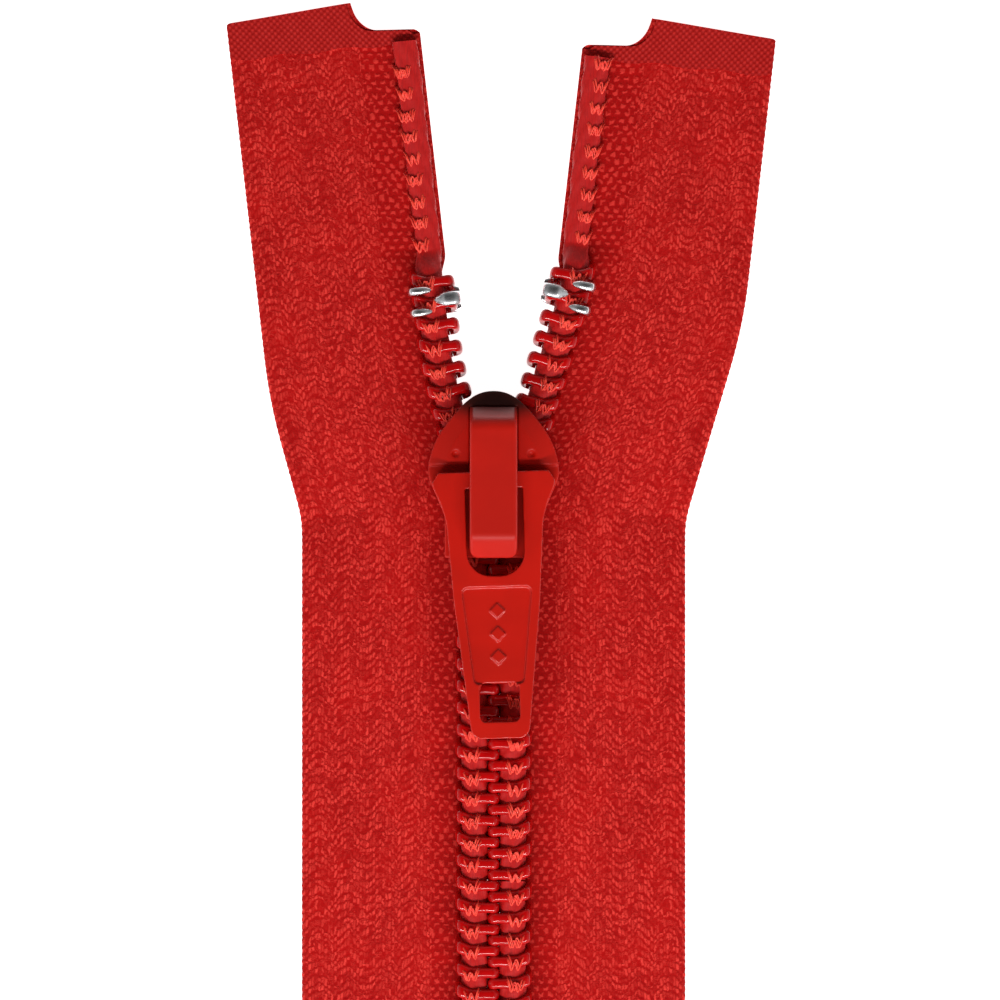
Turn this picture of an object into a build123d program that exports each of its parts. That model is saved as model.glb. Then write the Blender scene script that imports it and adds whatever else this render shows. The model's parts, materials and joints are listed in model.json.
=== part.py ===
"""Open-end nylon coil zipper with an auto-lock slider, lying face up, millimetres.

+Y runs up the chain towards the open end, +Z is the face side, and X = 0 is the chain's centre line.
Z = 0 is the underside of the slider and of the retainer box.

Each half of the zipper, a stringer, is laid out in its own unbent coordinates: u is the distance outwards
from the chain's centre line and v the distance along it. The slider parts the chain at the fork, where a
stringer leans outwards, and at the mouth it straightens up again. The lower fork and the lower mouth are
where the same two bends lie once the slider has run down to the retainer box.
"""

import os
from math import cos, radians, sin, tan

from build123d import *

os.makedirs("parts", exist_ok=True)

# ---------------------------------------------------------------- driving dimensions
nominal_length = 100.0  # top stop to the bottom of the retainer box
slider_travel = 72.0
box_bottom = -61.15
pitch = 1.7  # one coil turn along the chain
turns = 53

tape_inner = 0.6  # u of the tape's edges
tape_outer = 15.0
tape_low = 1.3  # z of the tape's faces
tape_high = 1.8

wire_r = 0.35  # coil monofilament
coil_head = -0.17  # u of the filament's centre at the coupling head
coil_back = 2.68  # u of the filament's centre at the outer bend
coil_low = tape_high + wire_r + 0.05  # z of the filament's centre in the lower legs
coil_high = coil_low + 1.6  # and in the upper legs
coil_bend_r = 0.68
head_climb = 0.35  # how far along the chain a turn climbs in its head
upper_leg_climb = 0.25  # in its upper leg
back_climb = 0.65  # and in its outer bend

cord_inner = 0.78  # u of the core cord's sides inside the coil
cord_outer = 2.12
cord_height = 0.76
cord_gap = 0.02  # between the tape and the cord lying on it above the stop

thread_inner = 1.25  # u of the stitch line's sides
thread_outer = 2.15
thread_low = coil_high + wire_r + 0.03
thread_high = thread_low + 0.24

lean_slider = 15.5  # degrees that a stringer leans outwards inside the slider
lean_open = 6.5  # and above it

blade_thick = 1.1
blade_low = 4.55  # z of the upper blade's faces
blade_high = 5.5
crown_high = 6.15
crown_back = 5.75  # the crown ends in a step this far behind the nose
slider_length = 13.0
rear_half_width = 3.8
channel_half_width = 3.28
flared_half_width = channel_half_width + 1.1
flange_front = 5.2  # the side flanges start this far behind the nose

tooth_back = 10.1  # the lock's tooth behind the nose
wedge_half = 1.32
wedge_front = 0.75  # the wedge's wide and thin ends behind the nose
wedge_back = 4.9
flange_low = tape_high + 0.35

pivot_v = 6.9  # the pull's pivot behind the nose
pivot_z = 6.5
pull_thick = 1.4
pull_yaw = 1.6  # degrees the pull lies askew
pull_droop = 2.2  # degrees the pull's end hangs
pull_slot_half = 2.25

cover_half_width = 1.85
cover_front = 1.25  # the cover's foot behind the nose
cover_top = 8.8
cover_wall = 0.5

# ---------------------------------------------------------------- levels along the chain
stop_line = box_bottom + nominal_length
nose = stop_line - 7.6
fork = nose - 8.0
mouth = nose + 3.7
lower_fork = fork - slider_travel
lower_mouth = mouth - slider_travel

box_top = box_bottom + 7.0
pin_bottom = box_bottom + 0.85
pin_top = box_bottom + 10.3
coil_start = pin_top + 0.65

tape_end_outer = nose + 30.45  # v of the tape's top corners
tape_end_inner = tape_end_outer + 0.5
notch_u = 5.5  # where the half-punch notch starts
notch_v = tape_end_inner - 2.2
notch_inner_v = notch_v - 0.45
film_outer_v = tape_end_outer - 2.9
film_inner_v = notch_inner_v - 1.0
film_high = tape_high + 0.1
bottom_film_top = lower_fork - 0.8

LEFT = -1
RIGHT = 1
SIDE_NAME = {LEFT: "left", RIGHT: "right"}
SEGMENT_ENDS = {
    "lower": (box_bottom, lower_fork),
    "lower_bend": (lower_fork, lower_mouth),
    "middle": (lower_mouth, fork),
    "upper_bend": (fork, mouth),
    "upper": (mouth, film_inner_v),
}


def spot(side, segment, u, v):
    """The (x, y) of a stringer point given in its unbent coordinates."""
    if segment == "upper_bend":
        lean = radians(lean_slider)
        x, y = 0, fork
        v = v - fork
    elif segment == "upper":
        bend = radians(lean_slider)
        lean = radians(lean_open)
        x, y = (mouth - fork) * sin(bend), fork + (mouth - fork) * cos(bend)
        v = v - mouth
    else:
        lean, x, y = 0, 0, 0
    return side * (x + u * cos(lean) + v * sin(lean)), y + v * cos(lean) - u * sin(lean)


def end_v(segment, end, u):
    """v of a segment's lower (0) or upper (1) end at u, mitred where the stringer is bent."""
    fork_mitre = tan(radians(lean_slider / 2))
    mouth_mitre = tan(radians((lean_slider - lean_open) / 2))
    mitres = {
        ("middle", 1): -fork_mitre,
        ("upper_bend", 0): fork_mitre,
        ("upper_bend", 1): mouth_mitre,
        ("upper", 0): -mouth_mitre,
    }
    return SEGMENT_ENDS[segment][end] + mitres.get((segment, end), 0) * u


def save(piece, name):
    piece.label = name
    export_step(piece, f"parts/{name}.step")


def nearest_corner(x, y):
    return vertices().sort_by(lambda corner: (corner.center() - Vector(x, y)).length)[0]


# ---------------------------------------------------------------- tapes and films
def plate(side, segment, corners, low, high):
    """A flat piece of one stringer segment, from its (u, v) corners and two z levels."""
    with BuildPart() as flat:
        with BuildSketch(Plane.XY.offset(low)):
            with BuildLine():
                Polyline(*[spot(side, segment, u, v) for u, v in corners], close=True)
            make_face()
        extrude(amount=high - low)
    return flat.part


def band(side, segment, inner, outer, low, high):
    """A plate over a segment's whole length, between two u values."""
    places = ((inner, 0), (outer, 0), (outer, 1), (inner, 1))
    corners = [(u, end_v(segment, end, u)) for u, end in places]
    return plate(side, segment, corners, low, high)


def bottom_film(side):
    """The film that stiffens the tape's lower end beside the retainer box."""
    inner, outer = 4.0, tape_outer
    corners = [
        (inner, box_bottom),
        (outer, box_bottom),
        (outer, bottom_film_top),
        (inner, bottom_film_top),
    ]
    return plate(side, "lower", corners, tape_high, film_high)


def punched_end(side, low, high, inner_v, outer_v):
    """The tape's top end between two z levels, from a line across it up to the half-punch notch."""
    corners = [
        spot(side, "upper", u, v)
        for u, v in (
            (tape_inner, inner_v),
            (tape_outer, outer_v),
            (tape_outer, tape_end_outer),
            (notch_u, tape_end_inner),
            (notch_u - 0.45, notch_v),
            (tape_inner, notch_inner_v),
        )
    ]
    with BuildPart() as end:
        with BuildSketch(Plane.XY.offset(low)):
            with BuildLine():
                Polyline(*corners, close=True)
            make_face()
            fillet(nearest_corner(*corners[4]), radius=1.1)
            fillet(nearest_corner(*corners[5]), radius=0.5)
            fillet(nearest_corner(*corners[3]), radius=0.15)
        extrude(amount=high - low)
    return end.part


stop_back_z = 0.95  # the stop's back plate lies under the tape
stop_gauge = 0.28
stop_over_z = thread_high + 0.02
prong_u = 3.2
prong_width = 0.56
prong_reach = 1.7  # u that the clinched prongs reach back to
tab_reach = 1.0  # and that the tab over the coil reaches out to
prong_places = (stop_line - 0.55, stop_line + 1.05)


def small_box(side, u_limits, v_limits, z_limits, mode=Mode.ADD):
    """A box that lies square to the upper segment of a stringer."""
    u_low, u_high = u_limits
    v_low, v_high = v_limits
    corners = [(u_low, v_low), (u_high, v_low), (u_high, v_high), (u_low, v_high)]
    with BuildSketch(Plane.XY.offset(z_limits[0])) as foot:
        with BuildLine():
            Polyline(*[spot(side, "upper", u, v) for u, v in corners], close=True)
        make_face()
    extrude(foot.sketch, amount=z_limits[1] - z_limits[0], mode=mode)


def top_tape(side):
    """The tape above the mouth, with two slits that the stop's prongs pass through."""
    inner_v = end_v("upper", 0, tape_inner)
    outer_v = end_v("upper", 0, tape_outer)
    slit = 0.03
    with BuildPart() as tape:
        add(punched_end(side, tape_low, tape_high, inner_v, outer_v))
        for v in prong_places:
            u_limits = (prong_u - slit, prong_u + stop_gauge + slit)
            v_limits = (v - prong_width / 2 - slit, v + prong_width / 2 + slit)
            small_box(side, u_limits, v_limits, (tape_low, tape_high), mode=Mode.SUBTRACT)
    return tape.part


def top_stop(side):
    """A clamped metal stop: back plate, tab round the coupling heads and two pierced prongs."""
    tab_inner = coil_head - wire_r - 0.06
    tab_v = (stop_line - 0.45, stop_line + 0.75)
    over = (stop_over_z, stop_over_z + stop_gauge)
    upright = (stop_back_z, over[1])
    plate_v = (prong_places[0] - prong_width / 2, prong_places[1] + prong_width / 2)
    with BuildPart() as stop:
        back_u = (tab_inner - stop_gauge, prong_u + stop_gauge)
        small_box(side, back_u, plate_v, (stop_back_z, stop_back_z + stop_gauge))
        small_box(side, (tab_inner - stop_gauge, tab_inner), tab_v, upright)
        small_box(side, (tab_inner - stop_gauge, tab_reach), tab_v, over)
        for v in prong_places:
            v_limits = (v - prong_width / 2, v + prong_width / 2)
            small_box(side, (prong_u, prong_u + stop_gauge), v_limits, upright)
            small_box(side, (prong_reach, prong_u + stop_gauge), v_limits, over)
    return stop.part


# ---------------------------------------------------------------- coil, core cord and stitching
def heads(side, segment):
    """v of each coupling head that belongs to a segment."""
    first = coil_start + (pitch / 2 if side == RIGHT else 0)
    low, high = SEGMENT_ENDS[segment]
    if segment == "lower":
        low = coil_start - pitch
    places = [first + pitch * turn for turn in range(turns)]
    return [v for v in places if low <= v + head_climb < high]


def coil(side, segment):
    """The monofilament of one segment: head, upper leg, outer bend and lower leg of each turn."""
    corners = []
    for v in heads(side, segment):
        climb = v + head_climb
        back = climb + upper_leg_climb
        corners += [
            (coil_head, v, coil_low),
            (coil_head, climb, coil_high),
            (coil_back, back, coil_high),
            (coil_back, back + back_climb, coil_low),
        ]
    lead_in_u, lead_in_v = 1.35, 0.2
    lead_out_u, lead_out_v = 1.0, 0.15
    first_v, last_v = corners[0][1], corners[-1][1]
    corners.insert(0, (coil_head + lead_in_u, first_v - lead_in_v, coil_low))
    corners.append((coil_back - lead_out_u, last_v + lead_out_v, coil_low))
    path = [(*spot(side, segment, u, v), z) for u, v, z in corners]
    with BuildPart() as filament:
        with BuildLine() as route:
            FilletPolyline(*path, radius=coil_bend_r)
        with BuildSketch(Plane(origin=route.wires()[0] @ 0, z_dir=route.wires()[0] % 0)):
            Circle(wire_r)
        sweep()
    return filament.part


def core_cord(side, segment):
    """The flattened cord inside the coil's turns. Above the stop it drops onto the tape."""
    middle = (coil_low + coil_high) / 2
    inside = (middle - cord_height / 2, middle + cord_height / 2)
    width = (cord_inner, cord_outer)
    with BuildPart() as cord:
        add(band(side, segment, *width, *inside))
        if segment == "upper":
            coil_end = heads(side, segment)[-1] + pitch + 0.25
            drop_end = coil_end + 1.0
            lowest = tape_high + cord_gap
            small_box(side, width, (coil_end, film_inner_v), inside, mode=Mode.SUBTRACT)
            small_box(side, width, (coil_end, drop_end), (lowest, inside[1]))
            small_box(side, width, (drop_end, film_inner_v - 0.3), (lowest, lowest + cord_height))
    return cord.part


def sewing_thread(side, segment):
    """The stitch line: needle thread over the coil's legs and looper thread under the tape."""
    over = (thread_low, thread_high)
    under = (tape_low - 0.16, tape_low - 0.01)
    width = (thread_inner, thread_outer)
    with BuildPart() as thread:
        if segment == "upper":
            coil_end = heads(side, segment)[-1] + pitch
            foot = end_v(segment, 0, thread_inner)
            end = film_inner_v - 0.3
            cord_top = tape_high + cord_gap + cord_height
            small_box(side, width, (foot, coil_end), (thread_low, thread_high - 0.04))
            small_box(side, width, (coil_end + 1.4, end), (cord_top + 0.03, cord_top + 0.23))
            small_box(side, width, (prong_places[1] + 0.4, end), under)
        else:
            add(band(side, segment, *width, *over))
            add(band(side, segment, *width, *under))
        if segment == "lower":
            with BuildSketch(Plane.XY):
                with Locations((side * thread_outer, (box_bottom + coil_start) / 2)):
                    Rectangle(6, coil_start - box_bottom + 0.2)
            extrude(amount=thread_high + 1, mode=Mode.SUBTRACT)
    return thread.part


# ---------------------------------------------------------------- retainer box and pins
pin_inner = 0.14
pin_outer = 1.62
pin_high = 4.2


def pin():
    """A moulded pin on the tape's edge: the right-hand one, mirrored for the left."""
    with BuildPart() as body:
        with BuildSketch(Plane.XZ.offset(-pin_bottom)):
            with BuildLine():
                Polyline(
                    (pin_inner, tape_low),
                    (tape_inner - 0.04, tape_low),
                    (tape_inner - 0.04, tape_high + 0.03),
                    (pin_outer, tape_high + 0.03),
                    (pin_outer, pin_high),
                    (pin_inner, pin_high),
                    close=True,
                )
            make_face()
        extrude(amount=pin_bottom - pin_top)
        fillet(body.edges().filter_by(Axis.Y).group_by(Axis.Z)[-1], radius=0.4)
        chamfer(body.faces().sort_by(Axis.Y)[-1].edges().group_by(Axis.Z)[-1], length=0.35)
    return body.part


def retainer_box():
    """The moulded box: a socket for both pins, open towards the chain, and a slot for each tape."""
    half_width = 3.9
    high = 5.0
    clear = 0.06  # round the tapes and the pins
    socket_half = pin_outer + clear
    groove_pitch = 1.4
    length = box_top - box_bottom
    middle = (box_top + box_bottom) / 2
    with BuildPart() as box:
        with BuildSketch():
            with Locations((0, middle)):
                RectangleRounded(2 * half_width, length, radius=0.9)
        extrude(amount=high)
        fillet(box.faces().sort_by(Axis.Z)[-1].edges(), radius=0.6)
        with BuildSketch(Plane.XY.offset(tape_low - clear)):
            with Locations((0, middle)):
                Rectangle(2 * half_width + 2, length + 1)
                Rectangle(2 * (tape_inner - clear), length + 1, mode=Mode.SUBTRACT)
        extrude(amount=tape_high - tape_low + 2 * clear, mode=Mode.SUBTRACT)
        with BuildSketch(Plane.XY.offset(tape_low - clear)):
            with Locations((0, (pin_bottom + box_top) / 2 + 0.5)):
                Rectangle(2 * socket_half, box_top - pin_bottom + 1)
        extrude(amount=pin_high - tape_low + 2 * clear, mode=Mode.SUBTRACT)
        with BuildSketch(Plane.XY.offset(high)):
            with Locations((0, middle - groove_pitch), (0, middle), (0, middle + groove_pitch)):
                SlotOverall(4.2, 0.5)
        extrude(amount=-0.2, mode=Mode.SUBTRACT)
    return box.part


# ---------------------------------------------------------------- slider
# the right-hand outline from the nose to the waist, as x and the distance behind the nose
slider_flank = [
    (1.9, 0.66),
    (3.25, 2.05),
    (4.4, 3.7),
    (5.0, 5.4),
    (5.05, 6.7),
    (4.45, 8.2),
    (3.98, 9.3),
    (rear_half_width, 10.6),
]


def slider_outline():
    """The slider seen from above: round nose, wide shoulders and a narrow rear."""
    places = [(x, nose - back) for x, back in slider_flank]
    with BuildLine() as outline:
        Spline((0, nose), *places, tangents=((1, 0), (0, -1)))
        Line(places[-1], (rear_half_width, nose - slider_length))
        Line((rear_half_width, nose - slider_length), (0, nose - slider_length))
        mirror(about=Plane.YZ)
    make_face(outline.edges())


def curved_edges(face):
    return face.edges().filter_by(lambda edge: edge.geom_type != GeomType.LINE)


def slider_body():
    """Die-cast body: two blades, the wedge between them, side flanges, crown and two cover lugs."""
    rear = nose - slider_length
    with BuildPart() as body:
        with BuildSketch():
            slider_outline()
        extrude(amount=blade_thick)
        with BuildSketch(Plane.XY.offset(blade_low)):
            slider_outline()
        extrude(amount=blade_high - blade_low)
        with BuildSketch(Plane.XY.offset(blade_high)):
            slider_outline()
            with Locations((0, nose - crown_back - 10)):
                Rectangle(20, 20, mode=Mode.SUBTRACT)
        extrude(amount=crown_high - blade_high)
        crown = body.faces().sort_by(Axis.Z)[-1]
        chamfer(curved_edges(crown), length=1.4, length2=0.55, reference=crown)
        fillet(curved_edges(body.faces().sort_by(Axis.Z)[-1]), radius=0.5)
        with BuildSketch(Plane.XY.offset(blade_high)):
            with Locations((0, nose - cover_front - 5)):
                Rectangle(2 * cover_half_width + 0.08, 10.08)
        extrude(amount=2, mode=Mode.SUBTRACT)
        with BuildSketch(Plane.XY.offset(blade_thick)):
            wide_v = nose - wedge_front
            thin_v = nose - wedge_back
            thin_half = wedge_half / 6
            with BuildLine():
                ThreePointArc((-wedge_half, wide_v), (0, wide_v + 0.45), (wedge_half, wide_v))
                Line((wedge_half, wide_v), (thin_half, thin_v))
                ThreePointArc((thin_half, thin_v), (0, thin_v - 0.2), (-thin_half, thin_v))
                Line((-thin_half, thin_v), (-wedge_half, wide_v))
            make_face()
        extrude(amount=blade_low - blade_thick)
        with BuildSketch(Plane.XY.offset(flange_low)):
            slider_outline()
            with BuildLine():
                Polyline(
                    (-channel_half_width, rear - 1),
                    (channel_half_width, rear - 1),
                    (channel_half_width, fork + 0.4),
                    (flared_half_width, nose - 4.6),
                    (flared_half_width, nose + 1),
                    (-flared_half_width, nose + 1),
                    (-flared_half_width, nose - 4.6),
                    (-channel_half_width, fork + 0.4),
                    close=True,
                )
            make_face(mode=Mode.SUBTRACT)
            with Locations((0, nose)):
                Rectangle(12, 2 * flange_front, mode=Mode.SUBTRACT)
        extrude(amount=blade_low - flange_low)
        with BuildSketch(Plane.XY.offset(blade_high)):
            with Locations((0, nose - 2.6), (0, rear + 1.15)):
                Rectangle(2 * (cover_half_width - cover_wall) - 0.08, 1.1)
        extrude(amount=1.1)
        with BuildSketch(Plane.XY.offset(blade_high)):
            with Locations((0, nose - tooth_back)):
                Rectangle(1.3, 0.9)
        extrude(amount=blade_low - blade_high, mode=Mode.SUBTRACT)
        dimples = [(side * 2.95, nose - 4.9, crown_high + 0.12) for side in (LEFT, RIGHT)]
        with Locations(*dimples):
            Sphere(0.34, mode=Mode.SUBTRACT)
    return body.part


def cover():
    """The bridge: a hollow cap over the lock spring, arched at each side for the pull's bar."""
    front = nose - cover_front
    rear = nose - slider_length
    foot = blade_high + 0.03
    top = cover_top
    with BuildPart() as cap:
        with BuildSketch(Plane.YZ.offset(-cover_half_width)):
            with BuildLine():
                Polyline(
                    (front, crown_high + 0.05),
                    (front - 1.05, top),
                    (rear + 1.5, top),
                    (rear, top - 1.4),
                    (rear, foot),
                    (front, foot),
                    close=True,
                )
            make_face()
        extrude(amount=2 * cover_half_width)
        fillet(cap.edges().filter_by(Axis.X).group_by(Axis.Z)[-1], radius=1.1)
        rear_corners = cap.edges().filter_by(Axis.Z).group_by(Axis.Y)[0]
        fillet(rear_corners, radius=0.7)
        fillet(cap.faces().filter_by(Axis.Z).sort_by(Axis.Z)[-1].edges().filter_by(Axis.Y), radius=0.3)
        inner = cover_half_width - cover_wall
        with BuildSketch(Plane.YZ.offset(-inner)):
            with BuildLine():
                Polyline(
                    (front - 0.45, foot),
                    (front - 0.45, crown_high),
                    (front - 1.35, top - cover_wall),
                    (rear + 1.55, top - cover_wall),
                    (rear + cover_wall, top - 1.6),
                    (rear + cover_wall, foot),
                    close=True,
                )
            make_face()
        extrude(amount=2 * inner, mode=Mode.SUBTRACT)
        with BuildSketch(Plane.YZ.offset(-cover_half_width - 1)):
            with Locations((nose - pivot_v, pivot_z)):
                SlotCenterToCenter(0.5, 1.8)
            with Locations((nose - pivot_v, foot + 0.4)):
                Rectangle(2.3, 2.0)
        extrude(amount=2 * cover_half_width + 2, mode=Mode.SUBTRACT)
    return cap.part


def lock_spring():
    """The sprung strip under the bridge, whose tooth drops through the blade into the coil."""
    thick = 0.28
    strip_half = 0.45
    bow = pivot_z + 1.02
    tooth_v = nose - tooth_back
    tooth_low = coil_high + 0.42
    tooth_high = coil_high + 0.85
    with BuildPart() as spring:
        with BuildSketch(Plane.YZ.offset(-strip_half)):
            with BuildLine() as route:
                FilletPolyline(
                    (nose - 3.3, pivot_z + 0.2),
                    (nose - 4.1, bow),
                    (tooth_v + 1.2, bow),
                    (tooth_v, pivot_z + 0.3),
                    (tooth_v, tooth_high - 0.07),
                    radius=0.3,
                )
            trace(route.line, line_width=thick)
        extrude(amount=2 * strip_half)
        with BuildSketch(Plane.YZ.offset(-strip_half)):
            with BuildLine():
                Polyline(
                    (tooth_v - 0.2, tooth_high),
                    (tooth_v + 0.2, tooth_high),
                    (tooth_v + 0.07, tooth_low),
                    (tooth_v - 0.07, tooth_low),
                    close=True,
                )
            make_face()
        extrude(amount=2 * strip_half)
    return spring.part


# ---------------------------------------------------------------- pull tab
yaw = radians(pull_yaw)
droop = radians(pull_droop)
pull_plane = Plane(
    origin=(0, nose - pivot_v, pivot_z),
    x_dir=(cos(yaw), sin(yaw), 0),
    z_dir=(sin(yaw) * sin(droop), -cos(yaw) * sin(droop), cos(droop)),
)
pull_top = 0.62
pull_end = -20.15
pull_flank = [(4.78, -0.15), (4.42, -1.2), (3.98, -2.4), (3.72, -3.8)]
pull_waist = (3.36, -9.4)
pull_tip = (2.22, pull_end)


def pull_outline():
    """The pull seen from the face: wide head, waisted flanks and a narrow rounded end."""
    with BuildLine() as outline:
        Polyline((0, pull_top), (4.3, pull_top), pull_flank[0])
        Spline(*pull_flank, tangents=((-0.1, -1), (-0.07, -1)))
        Polyline(pull_flank[-1], pull_waist, pull_tip, (0, pull_end))
        mirror(about=Plane.YZ)
    make_face(outline.edges())


def pull_tab():
    """The pull: slotted for the bridge, a crossbar to swing on, a sunk panel and an end window."""
    half = pull_thick / 2
    panel_depth = 0.25
    bar_back = -0.66  # the crossbar's rear side
    slot_end = -7.5
    window_middle = -17.35
    with BuildPart() as pull:
        with BuildSketch(pull_plane.offset(-half)):
            pull_outline()
        extrude(amount=pull_thick)
        uprights = pull.edges().filter_by(Axis(pull_plane.origin, pull_plane.z_dir))
        fillet(uprights.sort_by(Axis.Y)[:2], radius=0.9)
        with BuildSketch(pull_plane.offset(-half)):
            with BuildLine():
                Polyline(
                    (-pull_slot_half, bar_back),
                    (pull_slot_half, bar_back),
                    (pull_slot_half, slot_end),
                    (-pull_slot_half, slot_end),
                    close=True,
                )
            make_face()
            fillet(vertices().group_by(Axis.Y)[0], radius=1.9)
        extrude(amount=pull_thick, mode=Mode.SUBTRACT)
        with BuildSketch(pull_plane.offset(half)):
            with BuildLine():
                Polyline((-2.75, -8.35), (2.75, -8.35), (1.95, -15.9), (-1.95, -15.9), close=True)
            make_face()
            fillet(vertices(), radius=0.45)
        extrude(amount=-panel_depth, mode=Mode.SUBTRACT)
        with BuildSketch(pull_plane.offset(-half)):
            with Locations((0, window_middle)):
                RectangleRounded(3.1, 3.0, radius=0.45)
        extrude(amount=pull_thick, mode=Mode.SUBTRACT)
        with BuildSketch(pull_plane.offset(half - panel_depth - 0.01)):
            with Locations((0, -10.2), (0, -12.0), (0, -13.8)):
                Rectangle(0.85, 0.85, rotation=45)
        extrude(amount=0.2)
    return pull.part


# ---------------------------------------------------------------- make and write every piece
for side, word in SIDE_NAME.items():
    for segment in SEGMENT_ENDS:
        if segment == "upper":
            save(top_tape(side), f"{word}_tape_upper")
        else:
            tape = band(side, segment, tape_inner, tape_outer, tape_low, tape_high)
            save(tape, f"{word}_tape_{segment}")
        save(coil(side, segment), f"{word}_coil_{segment}")
        save(sewing_thread(side, segment), f"{word}_sewing_thread_{segment}")
        if segment != "lower":
            save(core_cord(side, segment), f"{word}_core_cord_{segment}")
    save(top_stop(side), f"{word}_top_stop")
    save(bottom_film(side), f"{word}_bottom_film")
    save(punched_end(side, tape_high, film_high, film_inner_v, film_outer_v), f"{word}_top_film")

save(slider_body(), "slider_body")
save(cover(), "slider_cover")
save(lock_spring(), "lock_spring")
save(pull_tab(), "pull_tab")
save(retainer_box(), "retainer_box")
retainer_pin = pin()
save(retainer_pin, "retainer_pin")
insertion_pin = mirror(retainer_pin, about=Plane.YZ)
save(insertion_pin, "insertion_pin")
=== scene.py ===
"""Looks of the open-end zipper: woven tapes, nylon coils, stitching, enamelled slider and metal stops.

Lengths are in millimetres until a mesh is made. A stringer is laid out in unbent coordinates: u outwards from
the chain's centre line, v along it, and z up. place() bends them at the fork and at the mouth of the slider.
"""

import json
import math

import bpy
import numpy as np
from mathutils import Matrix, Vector


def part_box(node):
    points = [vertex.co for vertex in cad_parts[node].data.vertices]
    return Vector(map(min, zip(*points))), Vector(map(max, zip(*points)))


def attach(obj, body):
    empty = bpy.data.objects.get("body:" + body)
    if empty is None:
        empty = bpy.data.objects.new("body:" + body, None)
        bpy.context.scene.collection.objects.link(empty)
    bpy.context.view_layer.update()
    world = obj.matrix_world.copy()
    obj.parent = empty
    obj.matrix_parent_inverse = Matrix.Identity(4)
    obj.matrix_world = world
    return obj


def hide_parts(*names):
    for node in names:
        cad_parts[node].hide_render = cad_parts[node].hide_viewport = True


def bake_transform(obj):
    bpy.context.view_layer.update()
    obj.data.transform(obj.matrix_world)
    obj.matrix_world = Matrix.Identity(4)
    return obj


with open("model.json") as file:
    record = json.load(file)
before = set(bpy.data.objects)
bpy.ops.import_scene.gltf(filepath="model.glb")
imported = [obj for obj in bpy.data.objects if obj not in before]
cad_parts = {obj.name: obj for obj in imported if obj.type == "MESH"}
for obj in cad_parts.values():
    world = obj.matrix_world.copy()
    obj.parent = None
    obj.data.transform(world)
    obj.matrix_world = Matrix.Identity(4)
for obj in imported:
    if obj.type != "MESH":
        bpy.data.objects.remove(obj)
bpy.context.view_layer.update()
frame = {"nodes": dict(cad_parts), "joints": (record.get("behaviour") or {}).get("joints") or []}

MM = 0.001
JOINTS = {joint["name"]: joint for joint in frame["joints"]}
LEFT = -1
RIGHT = 1
SIDE_NAME = {LEFT: "left", RIGHT: "right"}
random = np.random.default_rng(7)


def joint_y(name):
    return JOINTS[name]["pos_m"][1] / MM


def node_range(node, axis):
    """Lowest and highest value of a CAD node along an axis."""
    low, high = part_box(node)
    return low[axis] / MM, high[axis] / MM


# ---------------------------------------------------------------- sizes, from the frame where it has them
fork = joint_y("left_fork")
lower_fork = joint_y("left_lower_fork")
lower_mouth = joint_y("left_lower_mouth")
mouth_x = abs(JOINTS["left_mouth"]["pos_m"][0]) / MM
mouth = fork + math.hypot(mouth_x, joint_y("left_mouth") - fork)
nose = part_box("slider_body")[1].y / MM
box_bottom, box_top = node_range("retainer_box", 1)
tape_low, tape_high = node_range("left_tape_lower", 2)
tape_outer = -node_range("left_tape_lower", 0)[0]
tape_inner = -node_range("left_tape_lower", 0)[1]
stop_line = nose + 7.6

lean_slider = {LEFT: 15.5, RIGHT: 16.5}  # degrees that a stringer leans outwards inside the slider
lean_open = 6.5  # and above it
fork_bend = 4.5  # half the length of the bend at a fork, and at a mouth
mouth_bend = 3.0
late_mouth = {LEFT: -1.3, RIGHT: 5.2}  # the right tape is held out further before it straightens
short_end = {LEFT: -0.5, RIGHT: 0.45}  # and is cut a little shorter

notch_u = 5.5
notch_v = stop_line + 21.15
notch_radius = 1.7
tape_end_inner = notch_v + 2.2
tape_end_outer = tape_end_inner - 0.5
notch_inner_v = notch_v - 0.45
film_inner_v = notch_inner_v - 1.0
film_outer_v = tape_end_outer - 2.9
film_level = tape_high + 0.07
bottom_film_top = lower_fork - 0.8
bottom_film_inner = 4.0

pitch = 1.7
stop_step = pitch / 2  # the right stop sits half a pitch further up
turns = 54
coil_start = box_bottom + 10.95
head_u = -0.17
back_u = 2.68
leg_low = 2.2
leg_high = 3.8
stitch_u = 1.7  # middle of the stitch line

warp_pitch = 0.25
weft_pitch = 0.21
twill = 3  # wefts before a warp's float repeats
column = 5 * warp_pitch  # width of one herringbone column
gauze_edge = 4.85  # u where the open gauze by the coil meets the herringbone
dash_pitch = 0.54
dash_length = 0.74
golden = 0.618  # steps that never repeat, for starting neighbouring columns and warps differently
plastic_step = 0.7549
column_spread = 0.9
warp_spread = 0.35
hatch_pitch = 0.5  # of the diagonal lines pressed into the film

# v where each of a stringer's four pieces starts, and the names of the pieces
CUTS = [box_bottom, (lower_fork + lower_mouth) / 2, (lower_mouth + fork) / 2, (fork + mouth) / 2]
PARTS = ["low", "lower_middle", "upper_middle", "top"]


# ---------------------------------------------------------------- the bent stringer
def ramp(value, centre, half):
    share = np.clip((value - centre + half) / (2 * half), 0, 1)
    return share * share * (3 - 2 * share)


step = 0.02
v_table = np.arange(box_bottom - 1, tape_end_inner + 1, step)


def bent_line(side):
    """Lean, x and y along a stringer's inner line, for every v of the table."""
    lean = np.radians(lean_slider[side]) * ramp(v_table, fork, fork_bend)
    lean -= np.radians(lean_slider[side] - lean_open) * ramp(v_table, mouth + late_mouth[side], mouth_bend)
    return lean, np.cumsum(np.sin(lean)) * step, v_table[0] + np.cumsum(np.cos(lean)) * step


BENT = {side: bent_line(side) for side in SIDE_NAME}


def lean_at(side, v):
    return np.interp(v, v_table, BENT[side][0])


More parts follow.
